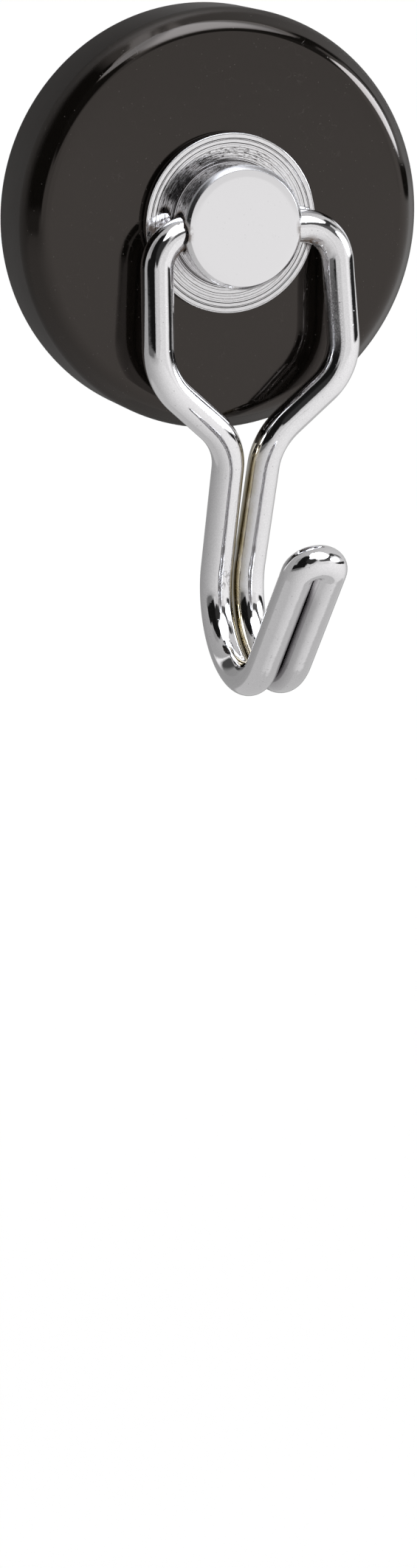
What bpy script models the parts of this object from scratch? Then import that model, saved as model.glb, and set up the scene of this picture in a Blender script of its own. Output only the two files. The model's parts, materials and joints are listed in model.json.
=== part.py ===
"""Magnetic wall hook: a black lacquered pot magnet with a chromed stud that turns, and a bent wire hook hinged in it.

Metres, +Z up. The origin is the centre of the magnetic back face. The wall is the plane y = 0 and the front faces -Y.
Heights of turned pieces are distances forward from the wall plane. The wire is laid out from the axis it swings on.
"""

import math

import bmesh
import bpy
from mathutils import Vector

# Clearances
SEAT_GAP = 0.00025
RUNNING_GAP = 0.00015
CUT_OVERRUN = 0.001
WELD_DISTANCE = 0.0000001

# Pot: deep-drawn steel cup, open towards the wall
POT_DIAMETER = 0.047
POT_HEIGHT = 0.0095
POT_WALL = 0.002
POT_FACE_BEND = 0.0023
POT_SHOULDER_SLOPE = math.radians(47)
POT_SHOULDER_WIDTH = 0.00082
POT_SIDE_BEND = 0.00149
POT_INNER_RADIUS = 0.0006
POT_RIM_BREAK = 0.0003
POT_HOLE_BREAK = 0.0003

# Magnet, pole and the rings of casting resin between them
MAGNET_RECESS = 0.0002
MAGNET_EDGE_BREAK = 0.0004
POLE_WALL = 0.0019
POLE_POCKET_ROOM = 0.0005
POLE_EDGE_BREAK = 0.0003
RESIN_WIDTH = 0.0015
RESIN_RECESS = 0.0003

# Stud: flange, stub and riveted shank turned from one bar
FLANGE_WIDTH = 0.0031
FLANGE_STAND = 0.00125
FLANGE_EDGE_BREAK = 0.00022
FLANGE_LAND_WIDTH = 0.0007
DISH_DEPTH = 0.0001
GROOVE_WIDTH = 0.00016
GROOVE_DEPTH = 0.00012
GROOVE_SPACING = 0.00034
STUB_DIAMETER = 0.0138
STUB_CHAMFER = 0.0005
STUB_ROOT_FILLET = 0.00025
CROSS_HOLE_SKIN = 0.00013
CROSS_HOLE_DROP = 0.00036
SHANK_DIAMETER = 0.006
RIVET_HEAD_OVERHANG = 0.0014
RIVET_HEAD_HEIGHT = 0.0011
RIVET_CROWN_SHARE = 0.57
RIVET_HEAD_ROOM = 0.0006

# Washers behind the pot's front wall
WAVE_WASHER_WIDTH = 0.0024
WAVE_WASHER_THICKNESS = 0.0004
WAVE_HEIGHT = 0.0005
WAVE_COUNT = 3
RETAINING_WASHER_WIDTH = 0.0026
RETAINING_WASHER_THICKNESS = 0.0008
WASHER_EDGE_BREAK = 0.0001

# Wire hook: one length of wire, folded at its tip, both ends in the cross hole
WIRE_DIAMETER = 0.00366
WIRE_PLAY_IN_HOLE = 0.00036
WIRE_DROP_IN_HOLE = 0.00006
WIRE_BACK_IN_HOLE = 0.00019
WIRE_FLANGE_GAP = 0.00014
WIRE_END_SPACING = 0.003
WIRE_SIDE_SHIFT = 0.00108
SHOULDER_BEND = 0.0041
SHOULDER_BEND_LEAD = 0.00043
KNEE_SPREAD = 0.0005
KNEE_ABOVE_THROAT = 0.00797
KNEE_REACH = 0.00178
KNEE_BEND = 0.0072
THROAT_BELOW_POT = 0.00072
THROAT_REACH = 0.00039
THROAT_GAP = 0.0007
THROAT_BEND = 0.0073
SHANK_LEAN = math.radians(19.1)
SHANK_GAP = 0.00025
HOOK_BELOW_THROAT = 0.02645
HOOK_BEND = 0.00857
ARM_LEAN = math.radians(40.3)
ARM_GAP = 0.00017
TIP_ABOVE_HOOK = 0.01537
TIP_GAP = 0.00014

# How finely curves are divided
POT_SEGMENTS = 72
STUD_SEGMENTS = 64
RING_SEGMENTS = 48
EDGE_STEPS = 6
BEND_STEP = math.radians(12)
WIRE_BEVEL_STEPS = 6

# Places that follow from the sizes
POT_RADIUS = POT_DIAMETER / 2
POT_FLOOR = POT_HEIGHT - POT_WALL
SHANK_RADIUS = SHANK_DIAMETER / 2
SHANK_HOLE_RADIUS = SHANK_RADIUS + RUNNING_GAP
WAVE_WASHER_RADIUS = SHANK_RADIUS + WAVE_WASHER_WIDTH
WAVE_MIDDLE = POT_FLOOR - SEAT_GAP - (WAVE_WASHER_THICKNESS + WAVE_HEIGHT) / 2
RETAINER_RADIUS = SHANK_RADIUS + RETAINING_WASHER_WIDTH
RETAINER_FRONT = WAVE_MIDDLE - (WAVE_WASHER_THICKNESS + WAVE_HEIGHT) / 2 - SEAT_GAP
RETAINER_BACK = RETAINER_FRONT - RETAINING_WASHER_THICKNESS
RIVET_HEAD_RADIUS = SHANK_RADIUS + RIVET_HEAD_OVERHANG
RIVET_HEAD_FRONT = RETAINER_BACK - RUNNING_GAP
RIVET_HEAD_BACK = RIVET_HEAD_FRONT - RIVET_HEAD_HEIGHT
POLE_POCKET_FLOOR = RIVET_HEAD_BACK - RIVET_HEAD_ROOM
POLE_POCKET_RADIUS = RETAINER_RADIUS + POLE_POCKET_ROOM
POLE_RADIUS = POLE_POCKET_RADIUS + POLE_WALL
MAGNET_BORE_RADIUS = POLE_RADIUS + RESIN_WIDTH
MAGNET_RADIUS = POT_RADIUS - POT_WALL - RESIN_WIDTH
STUB_RADIUS = STUB_DIAMETER / 2
FLANGE_RADIUS = STUB_RADIUS + FLANGE_WIDTH
FLANGE_BACK = POT_HEIGHT + RUNNING_GAP
FLANGE_FRONT = POT_HEIGHT + FLANGE_STAND
CROSS_HOLE_RADIUS = WIRE_DIAMETER / 2 + WIRE_PLAY_IN_HOLE
PIN_FORWARD = FLANGE_FRONT + WIRE_FLANGE_GAP + WIRE_DIAMETER / 2
CROSS_HOLE_FORWARD = PIN_FORWARD + WIRE_BACK_IN_HOLE
STUB_FRONT = CROSS_HOLE_FORWARD + CROSS_HOLE_RADIUS + CROSS_HOLE_SKIN
PIN_DROP = CROSS_HOLE_DROP + WIRE_DROP_IN_HOLE
SHOULDER_ACROSS = STUB_RADIUS + SHOULDER_BEND - SHOULDER_BEND_LEAD
KNEE_ACROSS = SHOULDER_ACROSS + KNEE_SPREAD
THROAT_DROP = POT_RADIUS + THROAT_BELOW_POT - PIN_DROP
KNEE_DROP = THROAT_DROP - KNEE_ABOVE_THROAT
HOOK_DROP = THROAT_DROP + HOOK_BELOW_THROAT
TIP_DROP = HOOK_DROP - TIP_ABOVE_HOOK


def clear_scene():
    """Removes whatever the open file holds, so that only the hook is left."""
    for old in list(bpy.data.objects):
        bpy.data.objects.remove(old, do_unlink=True)


def finish(name, colour, metallic, roughness):
    """A plain Principled material."""
    material = bpy.data.materials.new(name)
    material.use_nodes = True
    shader = material.node_tree.nodes["Principled BSDF"]
    shader.inputs["Base Color"].default_value = (*colour, 1)
    shader.inputs["Metallic"].default_value = metallic
    shader.inputs["Roughness"].default_value = roughness
    return material


def link(name, data, material):
    """Puts a mesh or a curve into the scene as a named object with its material."""
    data.materials.append(material)
    placed = bpy.data.objects.new(name, data)
    bpy.context.scene.collection.objects.link(placed)
    return placed


def faced_forward(placed):
    """Turns a piece that was modelled about +Z so that it faces -Y."""
    placed.rotation_euler.x = math.pi / 2
    return placed


def turned_mesh(name, profile, closed, segments):
    """Spins a profile of (radius, height) points about Z. An open profile starts and ends on the axis."""
    build = bmesh.new()
    points = [build.verts.new((radius, 0, height)) for radius, height in profile]
    edges = [build.edges.new(pair) for pair in zip(points, points[1:])]
    if closed:
        edges.append(build.edges.new((points[-1], points[0])))
    bmesh.ops.spin(
        build, geom=points + edges, cent=(0, 0, 0), axis=(0, 0, 1), angle=math.tau, steps=segments, use_merge=True
    )
    bmesh.ops.remove_doubles(build, verts=build.verts, dist=WELD_DISTANCE)
    bmesh.ops.recalc_face_normals(build, faces=build.faces)
    mesh = bpy.data.meshes.new(name)
    build.to_mesh(mesh)
    build.free()
    mesh.shade_smooth()
    mesh.set_sharp_from_angle(angle=math.radians(30))
    return mesh


def arc(centre_radius, centre_height, bend, start, end):
    """Points of an arc about (centre_radius, centre_height), from one angle to another."""
    angles = [start + (end - start) * step / EDGE_STEPS for step in range(EDGE_STEPS + 1)]
    return [(centre_radius + bend * math.cos(a), centre_height + bend * math.sin(a)) for a in angles]


def ring_profile(inner, outer, back, front, edge):
    """A plain ring with its four edges broken."""
    return [
        (inner + edge, back),
        (outer - edge, back),
        (outer, back + edge),
        (outer, front - edge),
        (outer - edge, front),
        (inner + edge, front),
        (inner, front - edge),
        (inner, back + edge),
    ]


def pot_edge():
    """The pot's front edge, from its side to its face: a bend, a short sloping shoulder and a wider bend."""
    slope = POT_SHOULDER_SLOPE
    side_centre = POT_RADIUS - POT_SIDE_BEND
    shoulder_outer = side_centre + POT_SIDE_BEND * math.sin(slope)
    shoulder_inner = shoulder_outer - POT_SHOULDER_WIDTH
    face_centre = shoulder_inner - POT_FACE_BEND * math.sin(slope)
    face_height = POT_HEIGHT - POT_FACE_BEND
    bend_difference = POT_FACE_BEND - POT_SIDE_BEND
    side_height = face_height + bend_difference * math.cos(slope) - POT_SHOULDER_WIDTH * math.tan(slope)
    shoulder = math.pi / 2 - slope
    side_bend = arc(side_centre, side_height, POT_SIDE_BEND, 0, shoulder)
    return side_bend + arc(face_centre, face_height, POT_FACE_BEND, shoulder, math.pi / 2)


def make_pot(material):
    """The cup: flat front, rounded front edge, a straight side down to the wall and a hole for the shank."""
    inner = POT_RADIUS - POT_WALL
    profile = [(POT_RADIUS - POT_RIM_BREAK, 0), (POT_RADIUS, POT_RIM_BREAK)]
    profile += pot_edge()
    profile += [
        (SHANK_HOLE_RADIUS + POT_HOLE_BREAK, POT_HEIGHT),
        (SHANK_HOLE_RADIUS, POT_HEIGHT - POT_HOLE_BREAK),
        (SHANK_HOLE_RADIUS, POT_FLOOR),
    ]
    profile += arc(inner - POT_INNER_RADIUS, POT_FLOOR - POT_INNER_RADIUS, POT_INNER_RADIUS, math.pi / 2, 0)
    profile += [(inner, 0)]
    return faced_forward(link("pot_shell", turned_mesh("pot_shell", profile, True, POT_SEGMENTS), material))


def make_magnet(material):
    """The ferrite ring that fills the cup."""
    front = POT_FLOOR - SEAT_GAP
    profile = ring_profile(MAGNET_BORE_RADIUS, MAGNET_RADIUS, MAGNET_RECESS, front, MAGNET_EDGE_BREAK)
    return faced_forward(link("ring_magnet", turned_mesh("ring_magnet", profile, True, RING_SEGMENTS), material))


def make_pole(material):
    """The steel centre pole: solid at the wall, with a pocket in front that clears the riveted end of the stud."""
    front = POT_FLOOR - SEAT_GAP
    profile = [
        (0, 0),
        (POLE_RADIUS - POLE_EDGE_BREAK, 0),
        (POLE_RADIUS, POLE_EDGE_BREAK),
        (POLE_RADIUS, front),
        (POLE_POCKET_RADIUS, front),
        (POLE_POCKET_RADIUS, POLE_POCKET_FLOOR),
        (0, POLE_POCKET_FLOOR),
    ]
    return faced_forward(link("pole_core", turned_mesh("pole_core", profile, False, RING_SEGMENTS), material))


def make_resin_ring(name, around, material):
    """Casting resin around a piece in the cup, a little below its face."""
    inner = around + SEAT_GAP
    outer = around + RESIN_WIDTH - SEAT_GAP
    front = POT_FLOOR - POT_INNER_RADIUS - SEAT_GAP
    profile = [(inner, RESIN_RECESS), (outer, RESIN_RECESS), (outer, front), (inner, front)]
    return faced_forward(link(name, turned_mesh(name, profile, True, RING_SEGMENTS), material))


def groove(centre_radius, height):
    """Three points of a fine turned groove in the flange, going inwards."""
    return [
        (centre_radius + GROOVE_WIDTH / 2, height),
        (centre_radius, height - GROOVE_DEPTH),
        (centre_radius - GROOVE_WIDTH / 2, height),
    ]


def make_stud(material):
    """Flange, stub and shank in one, with the end of the shank riveted over inside the pole's pocket."""
    land = FLANGE_RADIUS - FLANGE_LAND_WIDTH
    dish = FLANGE_FRONT - DISH_DEPTH
    profile = [
        (0, RIVET_HEAD_BACK),
        (RIVET_HEAD_RADIUS * RIVET_CROWN_SHARE, RIVET_HEAD_BACK),
        (RIVET_HEAD_RADIUS, RIVET_HEAD_BACK + RIVET_HEAD_HEIGHT / 2),
        (RIVET_HEAD_RADIUS, RIVET_HEAD_FRONT),
        (SHANK_RADIUS, RIVET_HEAD_FRONT),
        (SHANK_RADIUS, FLANGE_BACK),
        (FLANGE_RADIUS - FLANGE_EDGE_BREAK, FLANGE_BACK),
        (FLANGE_RADIUS, FLANGE_BACK + FLANGE_EDGE_BREAK),
        (FLANGE_RADIUS, FLANGE_FRONT - FLANGE_EDGE_BREAK),
        (FLANGE_RADIUS - FLANGE_EDGE_BREAK, FLANGE_FRONT),
    ]
    profile += groove(land, FLANGE_FRONT)
    profile += groove(land - GROOVE_SPACING, FLANGE_FRONT)
    profile += [
        (STUB_RADIUS + 2 * STUB_ROOT_FILLET, dish),
        (STUB_RADIUS, dish + STUB_ROOT_FILLET),
        (STUB_RADIUS, STUB_FRONT - STUB_CHAMFER),
        (STUB_RADIUS - STUB_CHAMFER, STUB_FRONT),
        (0, STUB_FRONT),
    ]
    stud = faced_forward(link("swivel_stud", turned_mesh("swivel_stud", profile, False, STUD_SEGMENTS), material))
    bore_cut(stud)
    return stud


def bore_cut(stud):
    """Cuts the cross hole that both ends of the wire go into."""
    build = bmesh.new()
    bmesh.ops.create_cone(
        build,
        cap_ends=True,
        segments=RING_SEGMENTS,
        radius1=CROSS_HOLE_RADIUS,
        radius2=CROSS_HOLE_RADIUS,
        depth=2 * (STUB_RADIUS + CUT_OVERRUN),
    )
    mesh = bpy.data.meshes.new("cross_hole_cutter")
    build.to_mesh(mesh)
    build.free()
    cutter = bpy.data.objects.new("cross_hole_cutter", mesh)
    bpy.context.scene.collection.objects.link(cutter)
    cutter.rotation_euler.y = math.pi / 2
    cutter.location = (0, -CROSS_HOLE_FORWARD, -CROSS_HOLE_DROP)
    cutter.hide_render = True
    cutter.display_type = "WIRE"
    cut = stud.modifiers.new("cross_hole", "BOOLEAN")
    cut.operation = "DIFFERENCE"
    cut.solver = "EXACT"
    cut.object = cutter


def make_wave_washer(material):
    """A spring washer whose ring rises and falls as it goes round."""
    mesh = turned_mesh(
        "wave_washer",
        ring_profile(
            SHANK_HOLE_RADIUS + SEAT_GAP,
            WAVE_WASHER_RADIUS,
            -WAVE_WASHER_THICKNESS / 2,
            WAVE_WASHER_THICKNESS / 2,
            WASHER_EDGE_BREAK,
        ),
        True,
        RING_SEGMENTS,
    )
    for point in mesh.vertices:
        around = math.atan2(point.co.y, point.co.x)
        point.co.z += WAVE_MIDDLE + WAVE_HEIGHT / 2 * math.sin(WAVE_COUNT * around)
    return faced_forward(link("wave_washer", mesh, material))


def make_retaining_washer(material):
    """The flat washer that the end of the shank is riveted over."""
    profile = ring_profile(
        SHANK_HOLE_RADIUS, RETAINER_RADIUS, RETAINER_BACK, RETAINER_FRONT, WASHER_EDGE_BREAK
    )
    mesh = turned_mesh("retaining_washer", profile, True, RING_SEGMENTS)
    return faced_forward(link("retaining_washer", mesh, material))


def wire_point(across, reach, drop):
    """A point of the wire: across it, forward of its axis, and below its axis."""
    return Vector((across, -reach, -drop))


def bend(before, corner, after, radius):
    """The arc that rounds a corner between two straight runs."""
    back = (before - corner).normalized()
    ahead = (after - corner).normalized()
    half = back.angle(ahead) / 2
    centre = corner + (back + ahead).normalized() * radius / math.sin(half)
    start = corner + back * radius / math.tan(half) - centre
    turn = math.pi - 2 * half
    side = (ahead - ahead.project(start)).normalized() * radius
    steps = max(2, math.ceil(turn / BEND_STEP))
    angles = [turn * step / steps for step in range(steps + 1)]
    return [centre + start * math.cos(a) + side * math.sin(a) for a in angles]


def half_wire(side):
    """The centre line of one half of the wire, from its end in the cross hole to the start of the folded tip."""
    end = wire_point(side * WIRE_END_SPACING / 2, 0, 0)
    shoulder = wire_point(side * SHOULDER_ACROSS, 0, 0)
    knee = wire_point(side * KNEE_ACROSS, KNEE_REACH, KNEE_DROP)
    throat = wire_point(side * (WIRE_DIAMETER + THROAT_GAP) / 2, THROAT_REACH, THROAT_DROP)
    # The hook's big bend touches the leaning shank and has its lowest point at HOOK_DROP
    centre_drop = HOOK_DROP - HOOK_BEND
    shank_run = (centre_drop - THROAT_DROP - HOOK_BEND * math.sin(SHANK_LEAN)) / math.cos(SHANK_LEAN)
    centre_reach = THROAT_REACH - shank_run * math.sin(SHANK_LEAN) + HOOK_BEND * math.cos(SHANK_LEAN)
    turn = math.pi - (ARM_LEAN - SHANK_LEAN)
    steps = math.ceil(turn / BEND_STEP)
    hook = []
    for step in range(steps + 1):
        around = turn * step / steps - SHANK_LEAN
        gap = SHANK_GAP + (ARM_GAP - SHANK_GAP) * step / steps
        reach = centre_reach - HOOK_BEND * math.cos(around)
        drop = centre_drop + HOOK_BEND * math.sin(around)
        hook.append(wire_point(side * (WIRE_DIAMETER + gap) / 2, reach, drop))
    arm_run = (-hook[-1].z - TIP_DROP) / math.cos(ARM_LEAN)
    tip_reach = -hook[-1].y + arm_run * math.sin(ARM_LEAN)
    tip = wire_point(side * (WIRE_DIAMETER + TIP_GAP) / 2, tip_reach, TIP_DROP)
    line = [end]
    line += bend(end, shoulder, knee, SHOULDER_BEND)
    line += bend(shoulder, knee, throat, KNEE_BEND)
    line += bend(knee, throat, hook[0], THROAT_BEND)
    return line + hook + [tip]


def tip_fold(left, right):
    """The half circle that joins the two arms at the tip, without its ends."""
    middle = (left + right) / 2
    across = left - middle
    along = wire_point(0, math.sin(ARM_LEAN), -math.cos(ARM_LEAN)) * across.length
    steps = math.ceil(math.pi / BEND_STEP)
    angles = [math.pi * step / steps for step in range(1, steps)]
    return [middle + across * math.cos(a) + along * math.sin(a) for a in angles]


def make_hook(material):
    """The wire as one curve with a round section. Its origin is on the axis that it swings about."""
    left = half_wire(-1)
    right = half_wire(1)
    line = left + tip_fold(left[-1], right[-1]) + right[::-1]
    curve = bpy.data.curves.new("wire_hook", "CURVE")
    curve.dimensions = "3D"
    curve.fill_mode = "FULL"
    curve.use_fill_caps = True
    curve.bevel_depth = WIRE_DIAMETER / 2
    curve.bevel_resolution = WIRE_BEVEL_STEPS
    spline = curve.splines.new("POLY")
    spline.points.add(len(line) - 1)
    for point, place in zip(spline.points, line):
        point.co = (*place, 1)
    hook = link("wire_hook", curve, material)
    hook.location = (WIRE_SIDE_SHIFT, -PIN_FORWARD, -PIN_DROP)
    return hook


def main():
    clear_scene()
    lacquer = finish("black_lacquer", (0.03, 0.028, 0.027), 0, 0.08)
    ferrite = finish("ferrite", (0.07, 0.07, 0.075), 0, 0.6)
    pole_steel = finish("zinc_steel", (0.6, 0.6, 0.62), 1, 0.35)
    resin = finish("casting_resin", (0.05, 0.05, 0.05), 0, 0.45)
    chrome = finish("chrome", (0.8, 0.8, 0.82), 1, 0.08)
    spring_steel = finish("spring_steel", (0.45, 0.45, 0.47), 1, 0.3)
    fixed = [
        make_pot(lacquer),
        make_magnet(ferrite),
        make_pole(pole_steel),
        make_resin_ring("outer_resin_ring", MAGNET_RADIUS, resin),
        make_resin_ring("inner_resin_ring", POLE_RADIUS, resin),
    ]
    turning = [
        make_stud(chrome),
        make_wave_washer(spring_steel),
        make_retaining_washer(spring_steel),
        make_hook(chrome),
    ]
    wall_face = bpy.data.objects.new("wall_face", None)
    swivel = bpy.data.objects.new("swivel_axis", None)
    for empty, pieces in ((wall_face, fixed), (swivel, turning)):
        bpy.context.scene.collection.objects.link(empty)
        for piece in pieces:
            piece.parent = empty
    swivel.parent = wall_face


main()
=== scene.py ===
"""Looks of the magnetic hook: lacquer, chrome, ferrite and resin on fine shapes, in a white studio."""

import json
import math

import bmesh
import bpy
from mathutils import Matrix, Vector

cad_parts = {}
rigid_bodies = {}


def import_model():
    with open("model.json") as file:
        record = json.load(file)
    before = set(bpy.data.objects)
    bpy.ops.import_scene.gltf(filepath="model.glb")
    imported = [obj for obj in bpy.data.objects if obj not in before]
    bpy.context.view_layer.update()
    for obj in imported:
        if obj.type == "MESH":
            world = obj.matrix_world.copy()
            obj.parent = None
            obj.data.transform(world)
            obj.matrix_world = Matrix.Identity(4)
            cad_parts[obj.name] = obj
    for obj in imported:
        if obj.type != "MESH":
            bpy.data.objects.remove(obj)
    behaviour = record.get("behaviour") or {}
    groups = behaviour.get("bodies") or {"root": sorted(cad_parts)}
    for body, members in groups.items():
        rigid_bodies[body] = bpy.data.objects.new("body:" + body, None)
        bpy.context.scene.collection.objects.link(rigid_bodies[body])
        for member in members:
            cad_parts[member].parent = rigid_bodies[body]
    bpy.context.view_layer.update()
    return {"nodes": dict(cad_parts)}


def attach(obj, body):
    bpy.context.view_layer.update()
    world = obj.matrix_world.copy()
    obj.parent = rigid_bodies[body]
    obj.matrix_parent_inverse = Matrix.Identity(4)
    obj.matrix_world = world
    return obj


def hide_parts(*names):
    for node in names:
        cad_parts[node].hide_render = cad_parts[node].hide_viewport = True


MM = 0.001
QUARTER = math.pi / 2
MERGE_DISTANCE = 0.0001 * MM
TURNED_SEGMENTS = 192

# Camera, fitted to the photograph: place and clipping in metres, angles in degrees, lens and sensor in mm
CAMERA_PLACE = (-0.16294, -0.44932, 0.05986)
CAMERA_YAW = 20.02
CAMERA_PITCH = -14.87
CAMERA_ROLL = -0.40
CAMERA_LENS = 96.71
CAMERA_SENSOR = 36
CAMERA_CLIP = 0.01

# Floor, in metres
FLOOR_HEIGHT = -0.16
FLOOR_HALF_WIDTH = 6
FLOOR_LIFT = 0.06

# Pot, as in the CAD model
POT_RADIUS = 23.5 * MM
POT_HEIGHT = 9.5 * MM
POT_FIRST_BEND = 2.3 * MM
POT_FIRST_STEPS = 20
POT_SHOULDER_SLOPE = math.radians(47)
POT_SHOULDER_WIDTH = 0.82 * MM
POT_SECOND_BEND = 1.49 * MM
POT_SECOND_STEPS = 16
POT_WALL = 2 * MM
POT_RIM_BREAK = 0.3 * MM
POT_INNER_RADIUS = 0.6 * MM
POT_FACE_SHARES = (0.9, 0.75, 0.6, 0.45, 0.3)
SATIN_BAND = 0.9 * MM

# Magnet, pole and resin
MAGNET_RADIUS = 20 * MM
MAGNET_BORE_RADIUS = 9.5 * MM
MAGNET_RECESS = 0.2 * MM
MAGNET_EDGE = 0.35 * MM
POLE_RADIUS = 8 * MM
POLE_EDGE = 0.25 * MM
POLE_POCKET_RADIUS = 6.1 * MM
POLE_POCKET_FLOOR = 3.45 * MM
SEAT_GAP = 0.25 * MM
RESIN_WIDTH = 1.5 * MM
RESIN_GAP = SEAT_GAP * 0.2
RESIN_RECESS = 0.3 * MM
RESIN_SAG = 0.22 * MM
RESIN_SHARES = (-1, -0.85, -0.6, -0.3, 0, 0.3, 0.6, 0.85, 1)

# Stud
STUB_RADIUS = 6.9 * MM
FLANGE_RADIUS = 10 * MM
FLANGE_BACK = 9.65 * MM
FLANGE_BACK_EDGE = 0.2 * MM
FLANGE_FRONT = 10.75 * MM
FLANGE_FRONT_EDGE = 0.06 * MM
DISH_DEPTH = 0.1 * MM
GROOVE_WIDTH = 0.1 * MM
GROOVE_DEPTH = 0.1 * MM
GROOVE_PLACE_SHARES = (0.045, 0.19, 0.235, 0.36, 0.43, 0.51, 0.61, 0.69, 0.82, 0.91)
GROOVE_SIZE_SHARES = (0.45, 1, 0.6, 0.9, 0.3, 0.5, 0.4, 0.6, 0.4, 0.7)
ROOT_GROOVE_WIDTH = 0.14 * MM
ROOT_GROOVE_DEPTH = ROOT_GROOVE_WIDTH * 0.7
STUB_FRONT = 15.23 * MM
STUB_CHAMFER = 0.45 * MM
STUB_CHAMFER_EDGE = 0.09 * MM
STUB_FACE_SHARES = (0.8, 0.55, 0.3, 0)
STUD_SMOOTH_ANGLE = 28
SHANK_RADIUS = 3 * MM
SHANK_END = 5 * MM
RUNNING_GAP = 0.15 * MM
CROSS_HOLE_RADIUS = 2.19 * MM
CROSS_HOLE_PLACE = (0, -12.91 * MM, -0.36 * MM)
CROSS_HOLE_LENGTH = 15.8 * MM
CROSS_HOLE_SEGMENTS = 96
SCORED_RADIUS = 7.9 * MM
SCORED_BAND = 0.7 * MM

# Wire hook, laid out from the axis that it swings on
WIRE_RADIUS = 1.83 * MM
PIN_PLACE = (1.08 * MM, -12.72 * MM, -0.42 * MM)
WIRE_END_SPACING = 3 * MM
SHOULDER_ACROSS = 10.57 * MM
SHOULDER_BEND = 4.1 * MM
KNEE_ACROSS = 11.07 * MM
KNEE_REACH = 1.78 * MM
KNEE_DROP = 15.83 * MM
KNEE_BEND = 7.2 * MM
THROAT_REACH = 0.39 * MM
THROAT_DROP = 23.8 * MM
THROAT_GAP = 0.7 * MM
THROAT_BEND = 7.3 * MM
SHANK_LEAN = math.radians(19.1)
SHANK_GAP = 0.25 * MM
HOOK_DROP = 50.21 * MM
HOOK_BEND = 8.57 * MM
ARM_LEAN = math.radians(40.3)
ARM_GAP = 0.17 * MM
TIP_DROP = 34.9 * MM
TIP_GAP = 0.14 * MM
WIRE_SIDES = 64
WIRE_STEP = 1.2 * MM
WIRE_SMOOTH_ANGLE = 40
BEND_STEP = math.radians(3)

# Marks and painted shade on the wire: each range runs from where a mark or the shade starts to show to where
# it shows in full
CLEFT_FACING = (0.5, 0.9)
CLEFT_APART = (2.7 * MM, 0.2 * MM)
CLEFT_DROP = (18 * MM, 22 * MM)
CLEFT_REACH = (3 * MM, 1 * MM)
# Where the painted shade between the arms shows
ARM_GAP_SHADE_FACING = (0.35, 0.95)
ARM_GAP_SHADE_DROP = (36.8 * MM, 38.3 * MM)
ARM_GAP_SHADE_REACH = (3 * MM, 5 * MM)
RUB_FLANK = -58
RUB_HALF_WIDTH = 44
RUB_FOOT = -15.6 * MM
RUB_TOP = -4.5 * MM
RUST_REACH = 7 * MM
RUST_UNDER = (0.45, 0.85)
SCRATCH_FLANK = 14
SCRATCH_HALF_WIDTH = 26
SCRATCH_HEIGHT = -39.9 * MM
SCRATCH_HALF_LENGTH = 1.9 * MM


def clear_scene():
    """Empties the start-up scene."""
    for old in list(bpy.data.objects):
        bpy.data.objects.remove(old, do_unlink=True)


def arc(centre_radius, centre_height, bend, start, end, steps):
    """Points of an arc in a turned profile, from one angle to another."""
    angles = [start + (end - start) * step / steps for step in range(steps + 1)]
    return [(centre_radius + bend * math.cos(a), centre_height + bend * math.sin(a)) for a in angles]


def new_object(name, build):
    """Puts a bmesh into the scene."""
    mesh = bpy.data.meshes.new(name)
    build.to_mesh(mesh)
    build.free()
    thing = bpy.data.objects.new(name, mesh)
    bpy.context.scene.collection.objects.link(thing)
    return thing


def smooth_mesh(mesh, angle):
    """Smooth shading, except across edges that are sharper than an angle in degrees."""
    mesh.shade_smooth()
    mesh.set_sharp_from_angle(angle=math.radians(angle))


def new_piece(name, build, material, smooth_angle=30):
    """Makes a piece from a bmesh that was modelled with -Y as its front."""
    bmesh.ops.recalc_face_normals(build, faces=build.faces)
    piece = new_object(name, build)
    smooth_mesh(piece.data, smooth_angle)
    piece.data.materials.append(material)
    return piece


def turned(name, profile, closed, material):
    """Spins a profile of (radius, height forward of the wall) about the Y axis."""
    build = bmesh.new()
    points = [build.verts.new((radius, -height, 0)) for radius, height in profile]
    edges = [build.edges.new(pair) for pair in zip(points, points[1:])]
    if closed:
        edges.append(build.edges.new((points[-1], points[0])))
    bmesh.ops.spin(
        build,
        geom=points + edges,
        cent=(0, 0, 0),
        axis=(0, 1, 0),
        angle=math.tau,
        steps=TURNED_SEGMENTS,
        use_merge=True,
    )
    bmesh.ops.remove_doubles(build, verts=build.verts, dist=MERGE_DISTANCE)
    return new_piece(name, build, material)


def pot_edge():
    """The pot's front edge: a soft bend from the wall, a short shoulder, and a wider bend into the face."""
    slope = POT_SHOULDER_SLOPE
    second_centre = POT_RADIUS - POT_SECOND_BEND
    shoulder_out = second_centre + POT_SECOND_BEND * math.sin(slope)
    shoulder_in = shoulder_out - POT_SHOULDER_WIDTH
    first_centre = shoulder_in - POT_FIRST_BEND * math.sin(slope)
    first_height = POT_HEIGHT - POT_FIRST_BEND
    second_height = (
        first_height
        + (POT_FIRST_BEND - POT_SECOND_BEND) * math.cos(slope)
        - POT_SHOULDER_WIDTH * math.tan(slope)
    )
    outer = arc(second_centre, second_height, POT_SECOND_BEND, 0, QUARTER - slope, POT_SECOND_STEPS)
    inner = arc(first_centre, first_height, POT_FIRST_BEND, QUARTER - slope, QUARTER, POT_FIRST_STEPS)
    return outer + inner


def make_pot(material):
    """The cup with its rounded front edge."""
    inner = POT_RADIUS - POT_WALL
    floor = POT_HEIGHT - POT_WALL
    hole = SHANK_RADIUS + RUNNING_GAP
    profile = arc(POT_RADIUS - POT_RIM_BREAK, POT_RIM_BREAK, POT_RIM_BREAK, -QUARTER, 0, 6)
    profile += pot_edge()
    profile += [(inner * share, POT_HEIGHT) for share in POT_FACE_SHARES]
    profile += [(hole, POT_HEIGHT), (hole, floor)]
    profile += arc(inner - POT_INNER_RADIUS, floor - POT_INNER_RADIUS, POT_INNER_RADIUS, QUARTER, 0, 6)
    profile += arc(inner + POT_RIM_BREAK, POT_RIM_BREAK, POT_RIM_BREAK, 2 * QUARTER, 3 * QUARTER, 6)
    return turned("pot", profile, True, material)


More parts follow.
